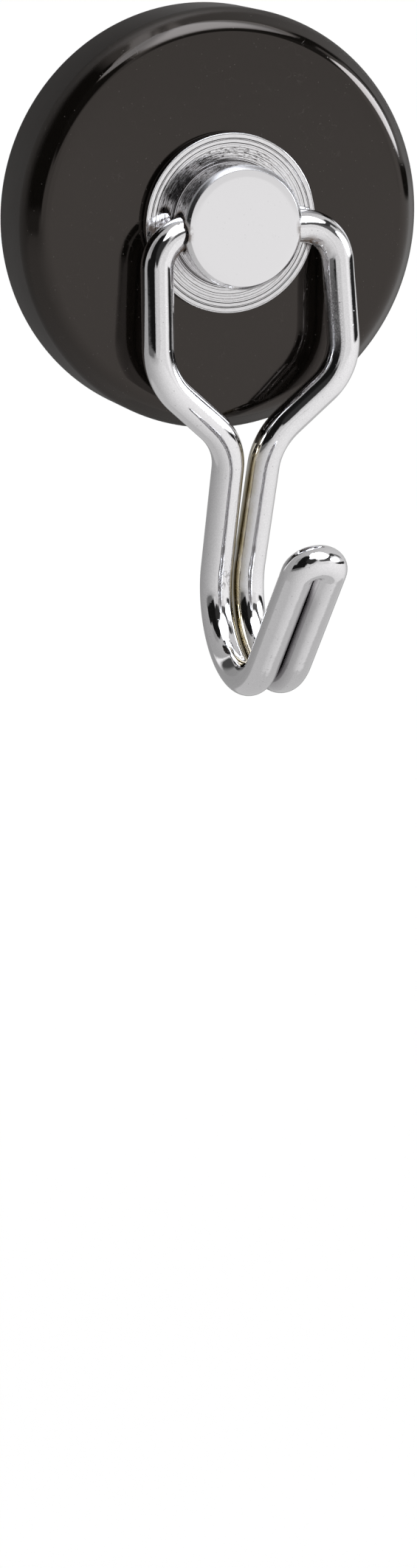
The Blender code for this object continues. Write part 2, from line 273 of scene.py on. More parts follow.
def make_magnet(material):
    """The ferrite ring, with rounded back edges."""
    back = MAGNET_RECESS + MAGNET_EDGE
    front = POT_HEIGHT - POT_WALL - SEAT_GAP
    profile = arc(MAGNET_BORE_RADIUS + MAGNET_EDGE, back, MAGNET_EDGE, 2 * QUARTER, 3 * QUARTER, 4)
    profile += arc(MAGNET_RADIUS - MAGNET_EDGE, back, MAGNET_EDGE, -QUARTER, 0, 4)
    profile += [(MAGNET_RADIUS, front), (MAGNET_BORE_RADIUS, front)]
    return turned("ferrite_ring", profile, True, material)


def make_pole(material):
    """The steel pole, turned flat at the wall."""
    front = POT_HEIGHT - POT_WALL - SEAT_GAP
    profile = [(0, 0), (POLE_RADIUS / 2, 0)]
    profile += arc(POLE_RADIUS - POLE_EDGE, POLE_EDGE, POLE_EDGE, -QUARTER, 0, 5)
    profile += [(POLE_RADIUS, front), (POLE_POCKET_RADIUS, front)]
    profile += [(POLE_POCKET_RADIUS, POLE_POCKET_FLOOR), (0, POLE_POCKET_FLOOR)]
    return turned("centre_pole", profile, False, material)


def make_resin(name, around, material):
    """A ring of casting resin that climbs a little where it wets the metal."""
    inner = around + RESIN_GAP
    outer = around + RESIN_WIDTH - RESIN_GAP
    middle = (inner + outer) / 2
    width = (outer - inner) / 2
    front = POT_HEIGHT - POT_WALL - POT_INNER_RADIUS - SEAT_GAP
    profile = [
        (middle + width * share, RESIN_RECESS + RESIN_SAG * (1 - share * share)) for share in RESIN_SHARES
    ]
    profile += [(outer, front), (inner, front)]
    return turned(name, profile, True, material)


def flange_face():
    """The flange's front, from its rim to the stub: flat bands between the sharp grooves of the tool."""
    width = FLANGE_RADIUS - STUB_RADIUS
    points = []
    for place, size in zip(GROOVE_PLACE_SHARES, GROOVE_SIZE_SHARES):
        radius = FLANGE_RADIUS - width * place
        height = FLANGE_FRONT - DISH_DEPTH * place
        half = GROOVE_WIDTH * size / 2
        bottom = height - GROOVE_DEPTH * size
        points += [(radius + half, height), (radius, bottom), (radius - half, height)]
    root = FLANGE_FRONT - DISH_DEPTH
    bottom = root - ROOT_GROOVE_DEPTH
    points += [(STUB_RADIUS + ROOT_GROOVE_WIDTH, root), (STUB_RADIUS + ROOT_GROOVE_WIDTH / 3, bottom)]
    return points + [(STUB_RADIUS, bottom)]


def make_stud(material):
    """Flange with the tool's grooves, stub with a cross hole, and the shank that goes into the pot."""
    edge = FLANGE_BACK_EDGE
    profile = [(0, SHANK_END), (SHANK_RADIUS, SHANK_END), (SHANK_RADIUS, FLANGE_BACK)]
    profile += arc(FLANGE_RADIUS - edge, FLANGE_BACK + edge, edge, -QUARTER, 0, 4)
    edge = FLANGE_FRONT_EDGE
    profile += arc(FLANGE_RADIUS - edge, FLANGE_FRONT - edge, edge, 0, QUARTER, 5)
    profile += flange_face()
    edge = STUB_CHAMFER_EDGE
    foot = STUB_FRONT - STUB_CHAMFER - edge / 2
    crown = STUB_RADIUS - STUB_CHAMFER - edge / 2
    profile += arc(STUB_RADIUS - edge, foot, edge, 0, QUARTER / 2, 4)
    profile += arc(crown, STUB_FRONT - edge, edge, QUARTER / 2, QUARTER, 3)
    profile += [(STUB_RADIUS * share, STUB_FRONT) for share in STUB_FACE_SHARES]
    stud = turned("stud", profile, False, material)
    drill_cross_hole(stud)
    return stud


def drill_cross_hole(stud):
    """Cuts the hole that the wire's ends go into."""
    build = bmesh.new()
    bmesh.ops.create_cone(
        build,
        cap_ends=True,
        segments=CROSS_HOLE_SEGMENTS,
        radius1=CROSS_HOLE_RADIUS,
        radius2=CROSS_HOLE_RADIUS,
        depth=CROSS_HOLE_LENGTH,
    )
    drill = new_object("drill", build)
    drill.rotation_euler.y = QUARTER
    drill.location = CROSS_HOLE_PLACE
    cut = stud.modifiers.new("cross_hole", "BOOLEAN")
    cut.object = drill
    bpy.context.view_layer.update()
    drilled = bpy.data.meshes.new_from_object(stud.evaluated_get(bpy.context.evaluated_depsgraph_get()))
    stud.modifiers.clear()
    stud.data = drilled
    bpy.data.objects.remove(drill, do_unlink=True)
    smooth_mesh(stud.data, STUD_SMOOTH_ANGLE)


def wire_point(across, reach, drop):
    """A point of the wire in the scene: across, forward of its axis, and below its axis."""
    return Vector(PIN_PLACE) + Vector((across, -reach, -drop))


def bend(before, corner, after, radius):
    """The arc that rounds a corner between two straight runs."""
    back = (before - corner).normalized()
    ahead = (after - corner).normalized()
    half = back.angle(ahead) / 2
    centre = corner + (back + ahead).normalized() * radius / math.sin(half)
    start = corner + back * radius / math.tan(half) - centre
    turn = math.pi - 2 * half
    side = (ahead - ahead.project(start)).normalized() * radius
    steps = max(2, math.ceil(turn / BEND_STEP))
    angles = [turn * step / steps for step in range(steps + 1)]
    return [centre + start * math.cos(a) + side * math.sin(a) for a in angles]


def half_wire(side):
    """The centre line of one half of the wire, from its end in the cross hole to the fold at the tip."""
    end = wire_point(side * WIRE_END_SPACING / 2, 0, 0)
    shoulder = wire_point(side * SHOULDER_ACROSS, 0, 0)
    knee = wire_point(side * KNEE_ACROSS, KNEE_REACH, KNEE_DROP)
    throat = wire_point(side * (WIRE_RADIUS + THROAT_GAP / 2), THROAT_REACH, THROAT_DROP)
    centre_drop = HOOK_DROP - HOOK_BEND
    shank_run = (centre_drop - THROAT_DROP - HOOK_BEND * math.sin(SHANK_LEAN)) / math.cos(SHANK_LEAN)
    centre_reach = THROAT_REACH - shank_run * math.sin(SHANK_LEAN) + HOOK_BEND * math.cos(SHANK_LEAN)
    turn = math.pi - (ARM_LEAN - SHANK_LEAN)
    steps = math.ceil(turn / BEND_STEP)
    hook = []
    for step in range(steps + 1):
        around = turn * step / steps - SHANK_LEAN
        gap = SHANK_GAP + (ARM_GAP - SHANK_GAP) * step / steps
        reach = centre_reach - HOOK_BEND * math.cos(around)
        drop = centre_drop + HOOK_BEND * math.sin(around)
        hook.append(wire_point(side * (WIRE_RADIUS + gap / 2), reach, drop))
    last_reach = PIN_PLACE[1] - hook[-1].y
    last_drop = PIN_PLACE[2] - hook[-1].z
    arm_run = (last_drop - TIP_DROP) / math.cos(ARM_LEAN)
    tip_reach = last_reach + arm_run * math.sin(ARM_LEAN)
    tip = wire_point(side * (WIRE_RADIUS + TIP_GAP / 2), tip_reach, TIP_DROP)
    line = [end]
    line += bend(end, shoulder, knee, SHOULDER_BEND)
    line += bend(shoulder, knee, throat, KNEE_BEND)
    line += bend(knee, throat, hook[0], THROAT_BEND)
    return line + hook + [tip]


def tip_fold(left, right):
    """The half circle that joins the two arms at the tip, without its ends."""
    middle = (left + right) / 2
    across = left - middle
    along = Vector((0, -math.sin(ARM_LEAN), math.cos(ARM_LEAN))) * across.length
    steps = math.ceil(math.pi / (2 * BEND_STEP))
    angles = [math.pi * step / steps for step in range(1, steps)]
    return [middle + across * math.cos(a) + along * math.sin(a) for a in angles]


def even_line(line, longest):
    """Splits the long straight runs of a line, so that its surface has even faces."""
    points = [line[0]]
    for start, end in zip(line, line[1:]):
        parts = max(1, math.ceil((end - start).length / longest))
        points += [start.lerp(end, part / parts) for part in range(1, parts + 1)]
    return points


def make_wire(material):
    """The wire, swept along its centre line with its section carried round without twisting."""
    left = half_wire(-1)
    right = half_wire(1)
    line = even_line(left + tip_fold(left[-1], right[-1]) + right[::-1], WIRE_STEP)
    build = bmesh.new()
    rings = []
    angles = [math.tau * side / WIRE_SIDES for side in range(WIRE_SIDES)]
    ahead = (line[1] - line[0]).normalized()
    normal = Vector((0, -1, 0))
    for index, point in enumerate(line):
        before = line[max(index - 1, 0)]
        after = line[min(index + 1, len(line) - 1)]
        way = (after - before).normalized()
        normal = (ahead.rotation_difference(way) @ normal).normalized()
        normal = (normal - normal.project(way)).normalized()
        ahead = way
        across = way.cross(normal)
        out = [normal * math.cos(angle) + across * math.sin(angle) for angle in angles]
        rings.append([build.verts.new(point + spoke * WIRE_RADIUS) for spoke in out])
    for ring, following in zip(rings, rings[1:]):
        for side in range(WIRE_SIDES):
            after = (side + 1) % WIRE_SIDES
            build.faces.new((ring[side], ring[after], following[after], following[side]))
    build.faces.new(rings[0][::-1])
    build.faces.new(rings[-1])
    wire = new_piece("wire", build, material, WIRE_SMOOTH_ANGLE)
    mark_wire(wire.data, line)
    return wire


def mark_wire(mesh, line):
    """Stores each point's place round and along the wire, and how strongly each mark and each painted shade
    shows there.
    """
    runs = [0.0]
    for start, end in zip(line, line[1:]):
        runs.append(runs[-1] + (end - start).length)
    places = []
    for run in runs:
        for side in range(WIRE_SIDES):
            angle = math.tau * side / WIRE_SIDES
            places += [WIRE_RADIUS * math.cos(angle), WIRE_RADIUS * math.sin(angle), run]
    mesh.attributes.new("wire_place", "FLOAT_VECTOR", "POINT").data.foreach_set("vector", places)
    for name, share in (
        ("cleft", cleft_depth),
        ("rubbed", rubbed_share),
        ("scratched", scratched_share),
        ("rust", rust_share),
        ("arm_gap_shade", arm_gap_shade_share),
    ):
        values = [share(point.co, line[index // WIRE_SIDES]) for index, point in enumerate(mesh.vertices)]
        mesh.attributes.new(name, "FLOAT", "POINT").data.foreach_set("value", values)


def within(value, limits):
    """How far a value has come from the first limit to the second, from 0 to 1."""
    first, second = limits
    return min(1, max(0, (value - first) / (second - first)))


def facing_share(point, centre):
    """How squarely a point of the wire faces the other half of the wire: 1 towards it, -1 away."""
    return (point.x - centre.x) / WIRE_RADIUS * (-1 if centre.x > PIN_PLACE[0] else 1)


def flank_angle(point, centre):
    """Where a point stands round the wire, in degrees: 0 in front and 90 to the right."""
    way = point - centre
    return math.degrees(math.atan2(way.x, -way.y))


def cleft_depth(point, centre):
    """Where the cleft between the shanks gets a nickel tint and painted shade: from 0 on the open side of a
    shank to 1 where it faces the other shank.
    """
    near = within(abs(centre.x - PIN_PLACE[0]) - WIRE_RADIUS, CLEFT_APART)
    low = within(-centre.z, CLEFT_DROP)
    behind = within(PIN_PLACE[1] - centre.y, CLEFT_REACH)
    return within(facing_share(point, centre), CLEFT_FACING) * near * low * behind


def arm_gap_shade_share(point, centre):
    """The painted shade between the two arms: from 0 on their open sides to 1 where they face each other."""
    ahead = within(PIN_PLACE[1] - centre.y, ARM_GAP_SHADE_REACH)
    under_fold = within(-centre.z, ARM_GAP_SHADE_DROP)
    return within(facing_share(point, centre), ARM_GAP_SHADE_FACING) * ahead * under_fold


def rubbed_share(point, centre):
    """How much the plating is rubbed dull: a strip on the inner side of the right leg, fading at its ends."""
    if centre.x < PIN_PLACE[0]:
        return 0
    across = max(0, 1 - abs(flank_angle(point, centre) - RUB_FLANK) / RUB_HALF_WIDTH)
    height = (centre.z - RUB_FOOT) / (RUB_TOP - RUB_FOOT)
    return min(1, across * 1.4) * max(0, min(1, height * 9)) * max(0, min(1, (1 - height) * 2.2))


def scratched_share(point, centre):
    """Where a tool has scratched the left shank, a little above the hook's bend."""
    if centre.x > PIN_PLACE[0] or centre.y < PIN_PLACE[1]:
        return 0
    across = max(0, 1 - abs(flank_angle(point, centre) - SCRATCH_FLANK) / SCRATCH_HALF_WIDTH)
    up = max(0, 1 - abs(centre.z - SCRATCH_HEIGHT) / SCRATCH_HALF_LENGTH)
    return min(1, across * 2) * min(1, up * 3)


def rust_share(point, centre):
    """How much rust has crept out of the cross hole: on the underside of the wire, close to the stub."""
    out = math.hypot(centre.x, centre.z) - STUB_RADIUS
    under = (centre.z - point.z) / WIRE_RADIUS + (abs(centre.x) - abs(point.x)) / WIRE_RADIUS * 0.6
    return max(0, min(1, 1.3 - out / RUST_REACH)) * within(under, RUST_UNDER)


def new_group(name, inputs, outputs):
    """A shader node group. An input without a default is a vector, and every other socket is a number."""
    tree = bpy.data.node_groups.new(name, "ShaderNodeTree")
    for label, default in inputs.items():
        kind = "NodeSocketVector" if default is None else "NodeSocketFloat"
        socket = tree.interface.new_socket(label, in_out="INPUT", socket_type=kind)
        if default is not None:
            socket.default_value = default
    for label in outputs:
        tree.interface.new_socket(label, in_out="OUTPUT", socket_type="NodeSocketFloat")
    return tree, tree.nodes.new("NodeGroupInput").outputs, tree.nodes.new("NodeGroupOutput").inputs


def plug(tree, value, socket):
    """Sets an input to a plain value, or links it to another node's output."""
    if isinstance(value, bpy.types.NodeSocket):
        tree.links.new(value, socket)
    else:
        socket.default_value = value


def math_node(tree, operation, *values):
    """A Math node's result."""
    node = tree.nodes.new("ShaderNodeMath")
    node.operation = operation
    for value, socket in zip(values, node.inputs):
        plug(tree, value, socket)
    return node.outputs[0]


def times(tree, first, second):
    """Two values multiplied."""
    return math_node(tree, "MULTIPLY", first, second)


def plus(tree, first, second):
    """Two values added."""
    return math_node(tree, "ADD", first, second)


def minus(tree, first, second):
    """One value less another."""
    return math_node(tree, "SUBTRACT", first, second)


def larger(tree, first, second):
    """The larger of two values."""
    return math_node(tree, "MAXIMUM", first, second)


def times_plus(tree, value, factor, addend):
    """A value multiplied, and another one added."""
    return math_node(tree, "MULTIPLY_ADD", value, factor, addend)


def unsigned(tree, value):
    """A value without its sign."""
    return math_node(tree, "ABSOLUTE", value)


def vector_node(tree, operation, *values):
    """A Vector Math node's result."""
    node = tree.nodes.new("ShaderNodeVectorMath")
    node.operation = operation
    for value, socket in zip(values, node.inputs):
        plug(tree, value, socket)
    return node.outputs["Value"] if operation in ("LENGTH", "DOT_PRODUCT") else node.outputs[0]


def stretched(tree, place, factors):
    """A position with each of its axes multiplied."""
    return vector_node(tree, "MULTIPLY", place, factors)


def ramp(tree, value, low, high, start=0.0, end=1.0, smooth=True):
    """Maps a range of values onto another, with soft ends."""
    node = tree.nodes.new("ShaderNodeMapRange")
    node.interpolation_type = "SMOOTHSTEP" if smooth else "LINEAR"
    settings = {"Value": value, "From Min": low, "From Max": high, "To Min": start, "To Max": end}
    for label, setting in settings.items():
        plug(tree, setting, node.inputs[label])
    return node.outputs[0]


def between(tree, share, none, full):
    """A value that goes evenly from one to another as a share goes from 0 to 1."""
    return ramp(tree, share, 0.0, 1.0, none, full, smooth=False)


def blend(tree, share, first, second):
    """A mix of two colours."""
    node = tree.nodes.new("ShaderNodeMix")
    node.data_type = "RGBA"
    plug(tree, share, node.inputs["Factor"])
    for value, socket in ((first, node.inputs[6]), (second, node.inputs[7])):
        plug(tree, (*value, 1) if isinstance(value, tuple) else value, socket)
    return node.outputs[2]


def noise(tree, place, scale, detail=3.0, roughness=0.5, kind="3D"):
    """A noise texture's value."""
    node = tree.nodes.new("ShaderNodeTexNoise")
    node.noise_dimensions = kind
    plug(tree, place, node.inputs["W" if kind == "1D" else "Vector"])
    node.inputs["Scale"].default_value = scale
    node.inputs["Detail"].default_value = detail
    node.inputs["Roughness"].default_value = roughness
    return node.outputs["Fac"]


def bump(tree, height, distance):
    """A Bump node's normal, with the height in metres."""
    node = tree.nodes.new("ShaderNodeBump")
    node.inputs["Strength"].default_value = 1.0
    node.inputs["Distance"].default_value = distance
    plug(tree, height, node.inputs["Height"])
    return node.outputs[0]


def stored(tree, name, output="Fac"):
    """A value that mark_wire stored on the wire."""
    node = tree.nodes.new("ShaderNodeAttribute")
    node.attribute_name = name
    return node.outputs[output]


def object_place(tree):
    """Positions on the object, in metres."""
    return tree.nodes.new("ShaderNodeTexCoord").outputs["Object"]


def from_axis(tree, place):
    """Distances from the axis that the turned pieces share."""
    return vector_node(tree, "LENGTH", stretched(tree, place, (1, 0, 1)))


def parts_of(tree, vector):
    """The three parts of a vector."""
    node = tree.nodes.new("ShaderNodeSeparateXYZ")
    plug(tree, vector, node.inputs[0])
    return node.outputs


def principled(name, colour, metallic, roughness):
    """A new material, with its node tree and the inputs of its Principled shader."""
    material = bpy.data.materials.new(name)
    material.use_nodes = True
    tree = material.node_tree
    surface = tree.nodes["Principled BSDF"].inputs
    surface["Base Color"].default_value = (*colour, 1)
    surface["Metallic"].default_value = metallic
    surface["Roughness"].default_value = roughness
    return material, tree, surface


def specks_group():
    """Scattered specks, such as dust on lacquer or pits in plating."""
    inputs = {"Place": None, "Scale": 800.0, "Size": 0.12, "Share": 0.3}
    tree, given, result = new_group("specks", inputs, ("Mask",))
    cells = tree.nodes.new("ShaderNodeTexVoronoi")
    plug(tree, given["Place"], cells.inputs["Vector"])
    plug(tree, given["Scale"], cells.inputs["Scale"])
    chance = tree.nodes.new("ShaderNodeTexWhiteNoise")
    plug(tree, cells.outputs["Position"], chance.inputs["Vector"])
    kept = math_node(tree, "LESS_THAN", chance.outputs["Value"], given["Share"])
    inner = times(tree, given["Size"], 0.4)
    spot = ramp(tree, cells.outputs["Distance"], inner, given["Size"], 1.0, 0.0)
    plug(tree, times(tree, spot, kept), result["Mask"])
    return tree


def edge_wear_group():
    """Broken wear along edges, found where a rounded normal leaves the true one."""
    inputs = {"Place": None, "Width": 0.3 * MM, "Break up": 900.0}
    tree, given, result = new_group("edge wear", inputs, ("Mask",))
    rounded = tree.nodes.new("ShaderNodeBevel")
    rounded.samples = 4
    plug(tree, given["Width"], rounded.inputs["Radius"])
    true = tree.nodes.new("ShaderNodeNewGeometry").outputs["Normal"]
    agree = vector_node(tree, "DOT_PRODUCT", rounded.outputs[0], true)
    edge = ramp(tree, agree, 0.995, 0.9)
    grain = tree.nodes.new("ShaderNodeTexNoise")
    plug(tree, given["Place"], grain.inputs["Vector"])
    plug(tree, given["Break up"], grain.inputs["Scale"])
    broken = ramp(tree, grain.outputs["Fac"], 0.42, 0.62)
    plug(tree, times(tree, edge, broken), result["Mask"])
    return tree


def hairlines_group():
    """Fine wandering scratches: the thin crests of a stretched noise."""
    inputs = {"Place": None, "Scale": 120.0, "Thinness": 0.012}
    tree, given, result = new_group("hairlines", inputs, ("Mask",))
    crest = tree.nodes.new("ShaderNodeTexNoise")
    crest.inputs["Detail"].default_value = 2
    crest.inputs["Distortion"].default_value = 0.6
    plug(tree, given["Place"], crest.inputs["Vector"])
    plug(tree, given["Scale"], crest.inputs["Scale"])
    away = unsigned(tree, minus(tree, crest.outputs["Fac"], 0.5))
    line = ramp(tree, away, 0.0, given["Thinness"], 1.0, 0.0)
    patches = ramp(tree, noise(tree, given["Place"], 260.0), 0.5, 0.65)
    plug(tree, times(tree, line, patches), result["Mask"])
    return tree


def turned_lines_group():
    """Rings left by the lathe tool, a little broken along their way, and the grime in the deepest of them."""
    inputs = {"Place": None, "Pitch": 0.12 * MM, "Chatter": 0.25}
    tree, given, result = new_group("turned lines", inputs, ("Height", "Grime"))
    turns = math_node(tree, "DIVIDE", from_axis(tree, given["Place"]), given["Pitch"])
    height = noise(tree, turns, 1.0, 2.0, 0.7, "1D")
    broken = noise(tree, given["Place"], 3200.0, 2.0)
    rough = times(tree, minus(tree, broken, 0.5), given["Chatter"])
    plug(tree, plus(tree, height, rough), result["Height"])
    deep = ramp(tree, height, 0.36, 0.28)
    plug(tree, times(tree, deep, ramp(tree, broken, 0.35, 0.55)), result["Grime"])
    return tree


GROUPS = {}


def make_groups():
    """Builds each shared effect once."""
    GROUPS["specks"] = specks_group()
    GROUPS["edge wear"] = edge_wear_group()
    GROUPS["hairlines"] = hairlines_group()
    GROUPS["turned lines"] = turned_lines_group()


def effect(tree, name, place, **values):
    """Places a shared effect on a material and gives its outputs."""
    node = tree.nodes.new("ShaderNodeGroup")
    node.node_tree = GROUPS[name]
    plug(tree, place, node.inputs["Place"])
    for label, value in values.items():
        node.inputs[label.replace("_", " ")].default_value = value
    return node.outputs


# Finishes: colours, roughness from the smoothest to the roughest spots, and depth of the relief
LACQUER = (0.0032, 0.0027, 0.0022)
LACQUER_DUST = (0.12, 0.11, 0.105)
LACQUER_WORN = (0.03, 0.028, 0.027)
LACQUER_INDEX = 1.56
LACQUER_TINT = (0.94, 0.83, 0.77, 1)
LACQUER_ROUGHNESS = (0.035, 0.09)
LACQUER_RELIEF = 0.006 * MM
CHROME = (0.745, 0.735, 0.745)
WIRE_CHROME = (0.8, 0.79, 0.8)
# Nickel tint darkened with painted shade, for the cleft between the shanks
WIRE_NICKEL_AND_SHADE = (0.55, 0.5, 0.38)
WIRE_GRAIN = (0.45, 0.435, 0.45)
# Painted shade between the arms
WIRE_ARM_GAP_SHADE = (0.2, 0.19, 0.2)
WIRE_MARK = (0.25, 0.24, 0.24)
WIRE_RUBBED = (0.16, 0.145, 0.16)
WIRE_RUST = (0.12, 0.075, 0.05)
WIRE_ROUGHNESS = (0.02, 0.05)
WIRE_RELIEF = 0.01 * MM
# Chrome darkened with painted shade, for the stub's side and the top of its chamfer
STUB_SIDE_SHADED_CHROME = (0.56, 0.545, 0.565)
STUB_CROWN_SHADED_CHROME = (0.44, 0.43, 0.44)
STUD_MARK = (0.34, 0.33, 0.33)
STUD_GRIME = (0.05, 0.042, 0.042)
STUD_RUST = (0.1, 0.065, 0.045)
STUD_WORN = (0.6, 0.55, 0.52)
STUD_ROUGHNESS = (0.03, 0.06)
STUD_RELIEF = 0.016 * MM
FERRITE_SHADES = ((0.045, 0.045, 0.05), (0.075, 0.075, 0.08))
FERRITE_PORE = (0.015, 0.015, 0.017)
FERRITE_CHIP = (0.13, 0.13, 0.135)
FERRITE_ROUGHNESS = (0.42, 0.62)
FERRITE_RELIEF = 0.02 * MM
ZINC_BLOOM = ((0.55, 0.57, 0.61), (0.6, 0.58, 0.53))
ZINC_WORN = (0.42, 0.41, 0.4)
ZINC_ROUGHNESS = (0.22, 0.4)
ZINC_RELIEF = 0.01 * MM
RESIN = (0.018, 0.018, 0.018)
RESIN_DUST = (0.12, 0.115, 0.11)
RESIN_ROUGHNESS = (0.28, 0.5)
RESIN_RELIEF = 0.04 * MM
SPRING_STEEL = (0.42, 0.42, 0.44)
SPRING_SPECK = (0.2, 0.17, 0.15)
SPRING_ROUGHNESS = (0.22, 0.42)
SPRING_RELIEF = 0.01 * MM

# The middle range of a noise, and how many of the finest specks and lines fit along a metre
MIDDLE = (0.3, 0.7)
FINE = 2600.0


def lacquer():
    """Black lacquer on drawn steel: glossy in front and satin at the side, with dust and fine scratches."""
    material, tree, surface = principled("black_lacquer", LACQUER, 0, 0.05)
    surface["IOR"].default_value = LACQUER_INDEX
    surface["Specular Tint"].default_value = LACQUER_TINT
    place = object_place(tree)
    dust = effect(tree, "specks", place, Scale=FINE, Size=0.2, Share=0.12)[0]
    lint = effect(tree, "hairlines", place, Scale=420.0, Thinness=0.006)[0]
    wear = effect(tree, "edge wear", place, Width=0.2 * MM)[0]
    marks = larger(tree, dust, times(tree, lint, 0.35))
    dusty = blend(tree, times(tree, marks, 0.35), LACQUER, LACQUER_DUST)
    plug(tree, blend(tree, times(tree, wear, 0.3), dusty, LACQUER_WORN), surface["Base Color"])
    side = ramp(tree, from_axis(tree, place), POT_RADIUS - SATIN_BAND, POT_RADIUS - SATIN_BAND * 0.1)
    cloudy = ramp(tree, noise(tree, place, 90.0, 4.0), *MIDDLE, *LACQUER_ROUGHNESS)
    satin = times_plus(tree, side, 0.5, cloudy)
    plug(tree, times_plus(tree, marks, 0.3, satin), surface["Roughness"])
    peel = times(tree, noise(tree, place, 700.0, 2.0), 0.35)
    swell = plus(tree, noise(tree, place, 160.0, 1.0), peel)
    grain = times(tree, noise(tree, place, 6000.0, 2.0), times(tree, side, 1.5))
    raised = times_plus(tree, marks, 0.6, plus(tree, swell, grain))
    plug(tree, bump(tree, raised, LACQUER_RELIEF), surface["Normal"])
    return material


def wire_chrome():
    """Chrome on drawn wire: lines along it, orange peel, pits, painted shade between the arms, rust, and a
    nickel tint with painted shade between the shanks.
    """
    material, tree, surface = principled("chrome_wire", CHROME, 1, 0.06)
    place = object_place(tree)
    along = stored(tree, "wire_place", "Vector")
    drawn = noise(tree, stretched(tree, along, (1, 1, 0.035)), FINE, 3.0)
    pits = effect(tree, "specks", place, Scale=FINE, Size=0.22, Share=0.1)[0]
    lines = effect(tree, "hairlines", stretched(tree, along, (1, 1, 0.06)), Scale=500.0, Thinness=0.01)[0]
    cloudy = ramp(tree, noise(tree, place, 500.0, 3.0), 0.3, 0.6, 0.45, 1.0)
    # A nickel tint with painted shade in the cleft between the shanks
    tint = blend(tree, times(tree, stored(tree, "cleft"), cloudy), WIRE_CHROME, WIRE_NICKEL_AND_SHADE)
    scribble = noise(tree, stretched(tree, place, (1, 1, 0.5)), 1500.0, 1.0)
    crest = unsigned(tree, minus(tree, scribble, 0.5))
    scratch = times(tree, ramp(tree, crest, 0.02, 0.045, 1.0, 0.0), stored(tree, "scratched"))
    marks = larger(tree, larger(tree, pits, times(tree, lines, 0.6)), scratch)
    speckled = ramp(tree, noise(tree, place, 7500.0, 2.0), 0.36, 0.6)
    grainy = blend(tree, times(tree, speckled, 0.16), tint, WIRE_GRAIN)
    # Darkens the arms where they face each other: painted shade
    arm_gap_shaded = blend(tree, times(tree, stored(tree, "arm_gap_shade"), 0.62), grainy, WIRE_ARM_GAP_SHADE)
    marked = blend(tree, times(tree, marks, 0.6), arm_gap_shaded, WIRE_MARK)
    rub = stored(tree, "rubbed")
    rubbed = blend(tree, times(tree, times(tree, rub, speckled), 0.6), marked, WIRE_RUBBED)
    blotched = ramp(tree, noise(tree, place, 900.0, 3.0), 0.36, 0.56)
    stain = times(tree, stored(tree, "rust"), blotched)
    plug(tree, blend(tree, stain, rubbed, WIRE_RUST), surface["Base Color"])
    plug(tree, between(tree, stain, 1.0, 0.25), surface["Metallic"])
    smooth = ramp(tree, drawn, 0.3, 0.75, *WIRE_ROUGHNESS)
    rough = times_plus(tree, larger(tree, rub, stain), 0.22, smooth)
    plug(tree, times_plus(tree, marks, 0.25, rough), surface["Roughness"])
    peel = times(tree, noise(tree, place, 4200.0, 1.0), 0.16)
    wavy = times_plus(tree, noise(tree, place, 420.0, 2.0), 1.6, peel)
    height = times_plus(tree, marks, -0.5, times_plus(tree, drawn, 0.3, wavy))
    plug(tree, bump(tree, height, WIRE_RELIEF), surface["Normal"])
    return material


